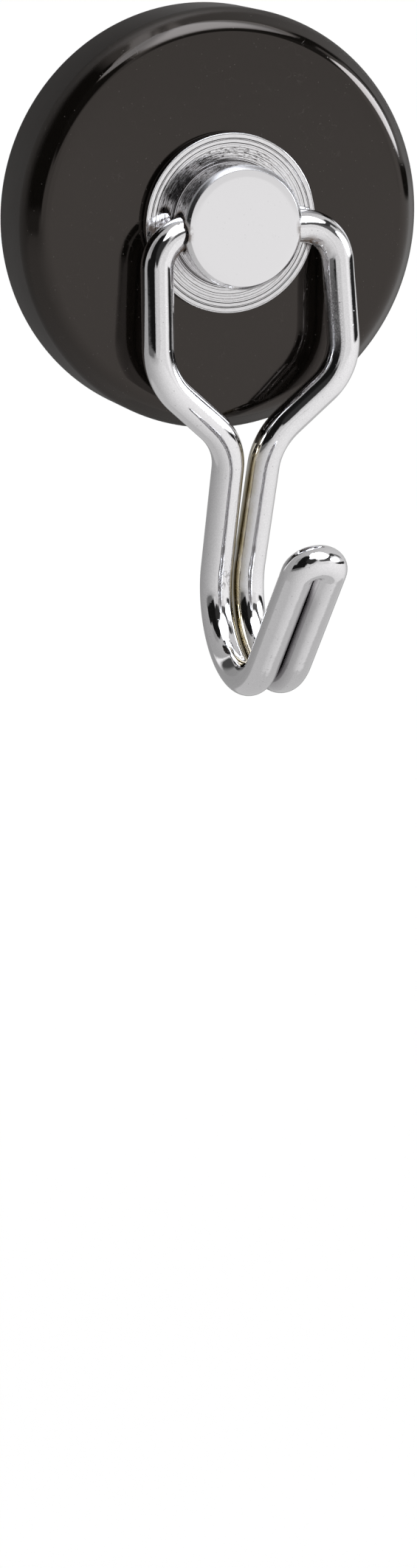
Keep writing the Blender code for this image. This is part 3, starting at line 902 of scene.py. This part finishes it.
def stud_chrome():
    """Chrome on the turned stub: a plain face, a mottled side darkened with painted shade, the top of the
    chamfer darkened with painted shade, and grimy tool rings on the flange.
    """
    material, tree, surface = principled("chrome_stud", CHROME, 1, 0.08)
    place = object_place(tree)
    x, y, z = parts_of(tree, place)
    radius = from_axis(tree, place)
    rings = effect(tree, "turned lines", place, Pitch=0.11 * MM, Chatter=0.5)
    pits = effect(tree, "specks", place, Scale=FINE, Size=0.25, Share=0.1)[0]
    lines = effect(tree, "hairlines", place, Scale=240.0, Thinness=0.005)[0]
    wear = effect(tree, "edge wear", place, Width=0.12 * MM)[0]

    # Masks of the flange, its grooves, the stub's face, its side, its chamfer and the top of that
    flange = ramp(tree, radius, STUB_RADIUS * 0.995, STUB_RADIUS * 1.005, smooth=False)
    slope = DISH_DEPTH / (FLANGE_RADIUS - STUB_RADIUS)
    level = times_plus(tree, radius, slope, FLANGE_FRONT - FLANGE_RADIUS * slope)
    below = plus(tree, level, y)
    groove = times(tree, ramp(tree, below, GROOVE_DEPTH * 0.05, GROOVE_DEPTH * 0.4), flange)
    face = ramp(tree, radius, STUB_RADIUS - STUB_CHAMFER, STUB_RADIUS - STUB_CHAMFER * 1.3, smooth=False)
    edge = minus(tree, minus(tree, 1.0, face), flange)
    behind = ramp(tree, y, STUB_CHAMFER - STUB_FRONT, STUB_CHAMFER * 1.3 - STUB_FRONT)
    side = times(tree, edge, behind)
    chamfer = minus(tree, edge, side)
    crown = times(tree, chamfer, ramp(tree, z, 0.0, STUB_RADIUS * 0.7))

    # Rust in the cross hole and at its mouth
    to_bore = vector_node(tree, "SUBTRACT", place, CROSS_HOLE_PLACE)
    from_bore = vector_node(tree, "LENGTH", stretched(tree, to_bore, (0, 1, 1)))
    wall = ramp(tree, from_bore, CROSS_HOLE_RADIUS * 1.03, CROSS_HOLE_RADIUS * 0.995)
    lip = ramp(tree, from_bore, CROSS_HOLE_RADIUS * 1.16, CROSS_HOLE_RADIUS)
    mouth = ramp(tree, unsigned(tree, x), STUB_RADIUS * 0.86, STUB_RADIUS * 0.93)
    bore = larger(tree, wall, times(tree, lip, mouth))
    patchy = times(tree, bore, ramp(tree, noise(tree, place, 1500.0, 3.0), 0.3, 0.55))

    # Grime in short dashes along the tool's way, thickest in the scored band at the upper left
    streaked = tree.nodes.new("ShaderNodeCombineXYZ")
    plug(tree, radius, streaked.inputs[0])
    plug(tree, times(tree, math_node(tree, "ARCTAN2", x, z), MM), streaked.inputs[1])
    dashes = ramp(tree, noise(tree, streaked.outputs[0], 11000.0, 2.0, 0.6), 0.53, 0.57)
    inner = ramp(tree, radius, SCORED_RADIUS - SCORED_BAND, SCORED_RADIUS - SCORED_BAND * 0.6)
    outer = ramp(tree, radius, SCORED_RADIUS + SCORED_BAND, SCORED_RADIUS + SCORED_BAND * 0.6)
    upper_left = ramp(tree, minus(tree, z, x), -FLANGE_RADIUS * 0.1, FLANGE_RADIUS * 0.5)
    scored = times(tree, times(tree, inner, outer), upper_left)
    dashes = times(tree, dashes, between(tree, scored, 0.12, 1.0))
    fine = times(tree, times(tree, rings["Grime"], flange), 0.25)
    dashed = times(tree, times(tree, dashes, flange), 0.95)
    grime = larger(tree, larger(tree, fine, dashed), times(tree, groove, 0.85))

    marks = larger(tree, pits, times(tree, lines, 0.4))
    fewer = times(tree, marks, between(tree, face, 1.0, 0.2))
    # The stub's side and the top of its chamfer get darker chrome: painted shade
    plate = blend(tree, side, blend(tree, crown, CHROME, STUB_CROWN_SHADED_CHROME), STUB_SIDE_SHADED_CHROME)
    marked = blend(tree, times(tree, fewer, 0.4), plate, STUD_MARK)
    dirty = blend(tree, grime, marked, STUD_GRIME)
    rusty = blend(tree, times(tree, patchy, 0.9), dirty, STUD_RUST)
    plug(tree, blend(tree, times(tree, wear, 0.25), rusty, STUD_WORN), surface["Base Color"])
    plug(tree, between(tree, patchy, 1.0, 0.35), surface["Metallic"])

    # The chamfer is duller than the rest, and its outer edge is rubbed
    dull = times_plus(tree, crown, 0.12, times(tree, chamfer, 0.12))
    smooth = plus(tree, dull, ramp(tree, rings["Height"], 0.3, 0.75, *STUD_ROUGHNESS))
    inward = minus(tree, STUB_RADIUS * 1.002, radius)
    rim = ramp(tree, inward, STUB_CHAMFER * 0.16, STUB_CHAMFER * 0.3, 1.0, 0.0)
    from_rim = unsigned(tree, plus(tree, y, STUB_FRONT - STUB_CHAMFER))
    rubbed = times(tree, rim, ramp(tree, from_rim, STUB_CHAMFER * 0.3, STUB_CHAMFER * 0.6, 1.0, 0.0))
    dented = larger(tree, larger(tree, wear, rubbed), larger(tree, patchy, fewer))
    plug(tree, times_plus(tree, dented, 0.35, smooth), surface["Roughness"])
    lathed = times(tree, rings["Height"], between(tree, flange, 0.02, 0.18))
    mottled = times(tree, noise(tree, place, 2400.0, 3.0), between(tree, face, 0.14, 0.03))
    height = times_plus(tree, fewer, -0.2, plus(tree, lathed, mottled))
    plug(tree, bump(tree, height, STUD_RELIEF), surface["Normal"])
    return material


def ferrite():
    """Ground ferrite: dark grey ceramic with grinding lines, pores and small chips at its edges."""
    material, tree, surface = principled("ground_ferrite", (0.055, 0.055, 0.06), 0, 0.55)
    place = object_place(tree)
    grinding = noise(tree, stretched(tree, place, (1, 1, 0.03)), 5200.0, 3.0)
    pores = effect(tree, "specks", place, Scale=1600.0, Size=0.3, Share=0.25)[0]
    chips = effect(tree, "edge wear", place, Width=0.5 * MM, Break_up=1200.0)[0]
    shade = blend(tree, ramp(tree, noise(tree, place, 300.0, 4.0), *MIDDLE), *FERRITE_SHADES)
    pitted = blend(tree, times(tree, pores, 0.8), shade, FERRITE_PORE)
    plug(tree, blend(tree, chips, pitted, FERRITE_CHIP), surface["Base Color"])
    plug(tree, ramp(tree, grinding, *MIDDLE, *FERRITE_ROUGHNESS), surface["Roughness"])
    lower = plus(tree, times(tree, pores, 1.5), chips)
    plug(tree, bump(tree, minus(tree, grinding, lower), FERRITE_RELIEF), surface["Normal"])
    return material


def zinc():
    """Zinc plate on the turned pole: lathe rings, a faint blue and yellow bloom, and rubbed marks."""
    material, tree, surface = principled("zinc_plate", (0.56, 0.57, 0.6), 1, 0.32)
    place = object_place(tree)
    rings = effect(tree, "turned lines", place, Pitch=0.22 * MM, Chatter=0.1)[0]
    rubs = effect(tree, "hairlines", place, Scale=200.0, Thinness=0.02)[0]
    wear = effect(tree, "edge wear", place, Width=0.3 * MM)[0]
    bloom = blend(tree, ramp(tree, noise(tree, place, 220.0, 3.0), 0.35, 0.65), *ZINC_BLOOM)
    plug(tree, blend(tree, wear, bloom, ZINC_WORN), surface["Base Color"])
    smooth = ramp(tree, rings, *MIDDLE, *ZINC_ROUGHNESS)
    plug(tree, plus(tree, smooth, times(tree, rubs, 0.15)), surface["Roughness"])
    height = minus(tree, rings, times(tree, rubs, 0.3))
    plug(tree, bump(tree, height, ZINC_RELIEF), surface["Normal"])
    return material


def resin():
    """Black casting resin with small bubbles and dust."""
    material, tree, surface = principled("casting_resin", RESIN, 0, 0.35)
    place = object_place(tree)
    bubbles = effect(tree, "specks", place, Scale=1100.0, Size=0.22, Share=0.3)[0]
    dust = effect(tree, "specks", place, Scale=2400.0, Size=0.2, Share=0.12)[0]
    plug(tree, blend(tree, times(tree, dust, 0.5), RESIN, RESIN_DUST), surface["Base Color"])
    cloudy = noise(tree, place, 400.0, 3.0)
    plug(tree, ramp(tree, cloudy, *MIDDLE, *RESIN_ROUGHNESS), surface["Roughness"])
    height = minus(tree, noise(tree, place, 500.0, 2.0), bubbles)
    plug(tree, bump(tree, height, RESIN_RELIEF), surface["Normal"])
    return material


def spring_steel():
    """Plain spring steel for the washers, with a rolled grain."""
    material, tree, surface = principled("spring_steel", (0.4, 0.4, 0.42), 1, 0.3)
    place = object_place(tree)
    rolled = noise(tree, stretched(tree, place, (0.05, 1, 1)), 4000.0, 3.0)
    specks = effect(tree, "specks", place, Scale=1500.0, Size=0.25, Share=0.2)[0]
    plug(tree, blend(tree, specks, SPRING_STEEL, SPRING_SPECK), surface["Base Color"])
    plug(tree, ramp(tree, rolled, *MIDDLE, *SPRING_ROUGHNESS), surface["Roughness"])
    plug(tree, bump(tree, rolled, SPRING_RELIEF), surface["Normal"])
    return material


# The studio as the chrome mirrors it, from back to front. Each patch has a name and a brightness, then its
# PATCH_SIZES in degrees. Azimuth 0 is straight in front of the object and 90 is to its right.
PATCH_SIZES = (
    "Centre azimuth",
    "Centre elevation",
    "Half width",
    "Half height",
    "Tilt",
    "Softness",
    "Squareness",
)
WALL_PATCHES = (
    ("strip light at the back", 1.1, -168, 22, 35, 36, 0, 0.06, 2),
    ("shade behind the strip light", 0.07, -168, 24, 30, 29, 0, 0.12, 2),
    ("grey cloth at the back", 0.32, -172, 0, 26, 20, 0, 0.3, 2),
    ("dark end of the room", 0.008, -56, 32, 24, 30, 6, 0.15, 4),
    ("slanting curtain", 0.012, -33, 34, 30, 11, -52, 0.15, 3),
    ("dark doorway", 0.008, -64, 4, 27, 16, 0, 0.08, 6),
    ("pale patch by the door", 0.35, -90, 37, 9, 12, 0, 0.5, 2),
    ("dim wall beside the soft box", 0.035, -19, 33, 21, 20.5, -20, 0.25, 2),
    ("dark wall under the soft box", 0.12, 31, 23, 24, 10, 0, 0.15, 4),
    ("left end of the soft box", 2.2, -40, 70, 18, 10, -45, 0.12, 3),
    ("left side of the soft box", 3.2, -18, 60, 16, 20, -10, 0.1, 4),
    ("soft box", 2.1, 30, 62, 34, 17, 0, 0.08, 5),
    ("lower end of the soft box", 2.1, 28, 48, 34, 19, 4, 0.06, 2),
    ("core of the soft box", 6.5, 20, 55, 23, 23, 0, 0.4, 3),
    ("boom of the lamp", 0.05, 50, 32, 26, 3, 22, 0.2, 3),
    ("arm of the lamp", 0.04, 76, 38, 13, 8, -10, 0.25, 2),
    ("cable of the lamp", 0.2, 95, 24, 17, 5, -50, 0.4, 2),
    ("lamp", 13, 66, 14.8, 19, 10, -7, 0.1, 2.3),
)
TABLE_PATCHES = (
    ("far left of the table", 0.42, -68, -2, 40, 11, 0, 0.6, 2),
    ("far side of the table", 0.36, 178, -8, 50, 38, 0, 0.6, 2),
    ("floor beyond the table", 0.58, 180, -78, 78, 48, 0, 0.05, 5),
)
FRONT_PATCHES = (
    ("raised end of the table", 0.88, 19, 3, 30, 9, 0, 0.1, 5),
    ("slope of the raised end", 0.72, -20, 2, 17, 5, 18, 0.2, 3),
    ("bright corner of the table", 1.08, 45, 2, 10, 8, 0, 0.6, 2),
    ("dark foot of the doorway", 0.16, -70, -4, 21, 4.6, 0, 0.35, 3),
    ("dark edge under the lamp", 0.02, 86, -1, 25, 3.6, 0, 0.25, 3),
)
BRIGHT_SIDE = (0.84, -0.54, 0)
WALL_LEVELS = (0.42, 0.78)
TABLE_LEVELS = (0.42, 1.06)
TABLE_EDGE = -2.0
TABLE_EDGE_BLUR = 2.5
COOL_LEVELS = (1.3, 3.0)
COOL_LIGHT = (0.93, 0.99, 1.06)


def studio_patch_group():
    """A soft-edged panel or dark flag of the studio, in degrees as seen from the object."""
    labels = ("Azimuth", "Elevation") + PATCH_SIZES
    tree, given, result = new_group("studio patch", dict.fromkeys(labels, 0.0), ("Mask",))
    square = given["Squareness"]
    across = minus(tree, given["Azimuth"], given["Centre azimuth"])
    around = math_node(tree, "WRAP", across, 180.0, -180.0)
    up = minus(tree, given["Elevation"], given["Centre elevation"])
    angle = math_node(tree, "RADIANS", given["Tilt"])
    cosine = math_node(tree, "COSINE", angle)
    sine = math_node(tree, "SINE", angle)
    along = plus(tree, times(tree, around, cosine), times(tree, up, sine))
    over = minus(tree, times(tree, up, cosine), times(tree, around, sine))
    wide = unsigned(tree, math_node(tree, "DIVIDE", along, given["Half width"]))
    high = unsigned(tree, math_node(tree, "DIVIDE", over, given["Half height"]))
    both = plus(tree, math_node(tree, "POWER", wide, square), math_node(tree, "POWER", high, square))
    reach = math_node(tree, "POWER", both, math_node(tree, "DIVIDE", 1.0, square))
    inner = minus(tree, 1.0, given["Softness"])
    outer = plus(tree, 1.0, given["Softness"])
    plug(tree, ramp(tree, reach, inner, outer, 1.0, 0.0), result["Mask"])
    return tree


def hang_patches(tree, group, patches, azimuth, elevation, light):
    """Lays patches over the light that comes from each direction."""
    for label, level, *sizes in patches:
        patch = tree.nodes.new("ShaderNodeGroup")
        patch.node_tree = group
        patch.label = label
        plug(tree, azimuth, patch.inputs["Azimuth"])
        plug(tree, elevation, patch.inputs["Elevation"])
        for value, size in zip(sizes, PATCH_SIZES):
            patch.inputs[size].default_value = value
        light = plus(tree, light, times(tree, patch.outputs[0], minus(tree, level, light)))
    return light


def make_studio():
    """White for the camera and plain for matt surfaces. Reflections see a table, lights and the dark room."""
    world = bpy.data.worlds.new("studio")
    bpy.context.scene.world = world
    world.use_nodes = True
    tree = world.node_tree
    way = vector_node(tree, "NORMALIZE", tree.nodes.new("ShaderNodeTexCoord").outputs["Generated"])
    x, y, z = parts_of(tree, way)
    azimuth = math_node(tree, "DEGREES", math_node(tree, "ARCTAN2", x, times(tree, y, -1.0)))
    elevation = math_node(tree, "DEGREES", math_node(tree, "ARCSINE", z))
    group = studio_patch_group()
    towards = vector_node(tree, "DOT_PRODUCT", way, BRIGHT_SIDE)
    light = ramp(tree, towards, -1.0, 1.0, *WALL_LEVELS, smooth=False)
    light = hang_patches(tree, group, WALL_PATCHES, azimuth, elevation, light)
    table = ramp(tree, towards, -1.0, 1.0, *TABLE_LEVELS, smooth=False)
    table = hang_patches(tree, group, TABLE_PATCHES, azimuth, elevation, table)
    on_table = ramp(tree, minus(tree, TABLE_EDGE, elevation), -TABLE_EDGE_BLUR, TABLE_EDGE_BLUR)
    light = plus(tree, light, times(tree, on_table, minus(tree, table, light)))
    light = hang_patches(tree, group, FRONT_PATCHES, azimuth, elevation, light)
    glossy = tree.nodes.new("ShaderNodeLightPath").outputs["Is Glossy Ray"]
    background = tree.nodes["Background"].inputs
    cool = times(tree, glossy, ramp(tree, light, *COOL_LEVELS))
    plug(tree, blend(tree, cool, (1, 1, 1), COOL_LIGHT), background["Color"])
    plug(tree, plus(tree, 1.0, times(tree, glossy, minus(tree, light, 1.0))), background["Strength"])


def make_floor():
    """A plain pale floor under the hook, white for the camera where no shadow falls."""
    material, tree, surface = principled("pale_floor", (0.95, 0.95, 0.95), 0, 0.9)
    surface["Specular IOR Level"].default_value = 0
    surface["Emission Color"].default_value = (1, 1, 1, 1)
    seen = tree.nodes.new("ShaderNodeLightPath").outputs["Is Camera Ray"]
    plug(tree, times(tree, seen, FLOOR_LIFT), surface["Emission Strength"])
    build = bmesh.new()
    bmesh.ops.create_grid(build, x_segments=2, y_segments=2, size=FLOOR_HALF_WIDTH)
    floor = new_object("floor", build)
    floor.data.materials.append(material)
    floor.location = (0, 0, FLOOR_HEIGHT)
    floor.visible_glossy = False


def make_camera():
    """The photograph's view."""
    data = bpy.data.cameras.new("camera")
    data.lens = CAMERA_LENS
    data.sensor_width = CAMERA_SENSOR
    data.clip_start = CAMERA_CLIP
    camera = bpy.data.objects.new("camera", data)
    bpy.context.scene.collection.objects.link(camera)
    camera.location = CAMERA_PLACE
    turn = Matrix.Rotation(math.radians(-CAMERA_YAW), 3, "Z")
    tilt = Matrix.Rotation(math.radians(90 + CAMERA_PITCH), 3, "X")
    roll = Matrix.Rotation(math.radians(CAMERA_ROLL), 3, "Z")
    camera.rotation_euler = (turn @ tilt @ roll).to_euler()
    bpy.context.scene.camera = camera


def main():
    """Dresses the CAD model: a fine piece in place of each coarse one, and new steel on the washers."""
    clear_scene()
    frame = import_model()
    nodes = frame["nodes"]
    make_groups()
    cast = resin()
    for piece, node, body, slot in (
        (make_pot(lacquer()), "pot_shell", "pot", "black_lacquer"),
        (make_magnet(ferrite()), "ring_magnet", "pot", "ferrite"),
        (make_pole(zinc()), "pole_core", "pot", "zinc_steel"),
        (make_resin("outer_resin", MAGNET_RADIUS, cast), "outer_resin_ring", "pot", "casting_resin"),
        (make_resin("inner_resin", POLE_RADIUS, cast), "inner_resin_ring", "pot", "casting_resin"),
        (make_stud(stud_chrome()), "swivel_stud", "stud", "chrome"),
        (make_wire(wire_chrome()), "wire_hook", "hook", "chrome"),
    ):
        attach(piece, body)
        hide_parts(node)
    steel = spring_steel()
    for name in ("wave_washer", "retaining_washer"):
        nodes[name].data.materials.clear()
        nodes[name].data.materials.append(steel)
    make_studio()
    make_floor()
    make_camera()
    scene = bpy.context.scene
    scene.view_settings.view_transform = "Standard"


main()
